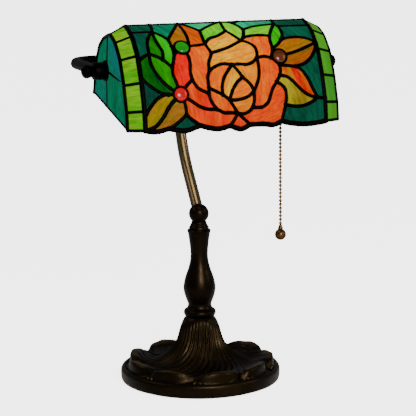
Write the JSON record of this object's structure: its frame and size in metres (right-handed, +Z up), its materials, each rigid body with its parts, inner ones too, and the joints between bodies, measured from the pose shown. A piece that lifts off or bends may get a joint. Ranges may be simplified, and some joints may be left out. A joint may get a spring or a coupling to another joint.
{
  "type": "stained glass table lamp",
  "caption": "Table lamp with a wide faceted stained glass shade that tilts between the arms of a yoke, on a bent tube, a turned column and a cast swirled base.",
  "frame": {"origin": "on the table, under the middle of the round base", "axes": "+Z up, -Y towards the front of the shade, +X to the right as seen from the front"},
  "size_m": [0.294, 0.2205, 0.4145],
  "materials": {
    "felt": "matte",
    "bronze": "dark patina, satin",
    "black_iron": "satin",
    "brass": "antique, satin",
    "ballast": "rough",
    "zinc": "satin",
    "bushing": "matte",
    "liner": "matte",
    "came": "dark patina, satin",
    "petal_glass": "streaky, glossy",
    "heart_glass": "streaky, glossy",
    "bright_leaf_glass": "streaky, glossy",
    "green_leaf_glass": "streaky, glossy",
    "autumn_leaf_glass": "streaky, glossy",
    "background_glass": "streaky, glossy",
    "border_glass": "streaky, glossy",
    "end_glass": "streaky, glossy",
    "ruby_glass": "glossy",
    "emerald_glass": "glossy",
    "amber_glass": "glossy",
    "bulb_glass": "frosted"
  },
  "bodies": {
    "stand": {"felt_pad": "felt", "base_casting": "bronze", "base_weight": "ballast", "base_washer": "zinc", "base_nut": "brass", "cord_bushing": "bushing", "lamp_pipe": "brass", "column_ring": "bronze", "column_vase": "bronze", "column_cap": "bronze", "column_ball": "bronze", "bent_arm": "bronze", "arm_collar": "bronze", "yoke_hub": "bronze", "yoke_rod": "black_iron", "yoke_eye_left": "black_iron", "yoke_eye_right": "black_iron"},
    "shade": {"petal_panes": "petal_glass", "heart_panes": "heart_glass", "bright_leaf_panes": "bright_leaf_glass", "green_leaf_panes": "green_leaf_glass", "autumn_leaf_panes": "autumn_leaf_glass", "background_panes": "background_glass", "back_panes": "background_glass", "border_panes_left": "border_glass", "border_panes_right": "border_glass", "end_panes_left": "end_glass", "end_panes_right": "end_glass", "ruby_jewel": "ruby_glass", "emerald_jewel": "emerald_glass", "amber_jewel": "amber_glass", "front_came": "came", "back_came": "came", "border_came_left": "came", "border_came_right": "came", "end_came_left": "came", "end_came_right": "came", "end_plates_left": "brass", "end_plates_right": "brass", "hinge_nut": "brass", "friction_washer_left": "black_iron", "friction_washer_right": "black_iron", "pivot_nipple": "brass", "nipple_locknut": "brass", "socket_cap": "brass", "socket_shell": "brass", "socket_liner": "liner", "socket_screw_shell": "brass", "socket_contact": "brass", "switch_stem": "brass"},
    "thumbscrew": {"thumbscrew_left": "black_iron"},
    "knob": {"knob_right": "black_iron"},
    "bulb": {"bulb_globe": "bulb_glass", "bulb_cap": "zinc", "bulb_contact": "brass"},
    "pull_chain": {"chain_beads": "brass", "chain_links": "brass", "chain_bell": "brass", "chain_ball": "brass"}
  },
  "joints": [
    {"name": "shade_tilt", "type": "hinge", "parent": "stand", "child": "shade", "pos_m": [0, -0.0456, 0.364], "axis": [1, 0, 0], "range_deg": [-40, 45]},
    {"name": "left_thumbscrew_turn", "type": "hinge", "parent": "shade", "child": "thumbscrew", "pos_m": [-0.14, -0.0456, 0.364], "axis": [1, 0, 0], "continuous": true},
    {"name": "right_knob_turn", "type": "hinge", "parent": "shade", "child": "knob", "pos_m": [0.14, -0.0456, 0.364], "axis": [1, 0, 0], "continuous": true},
    {"name": "bulb_turn", "type": "hinge", "parent": "shade", "child": "bulb", "pos_m": [0.05, -0.0456, 0.364], "axis": [1, 0, 0], "continuous": true},
    {"name": "chain_pull", "type": "slide", "parent": "shade", "child": "pull_chain", "axis": [0, 0, -1], "range_m": [0, 0.008]}
  ]
}
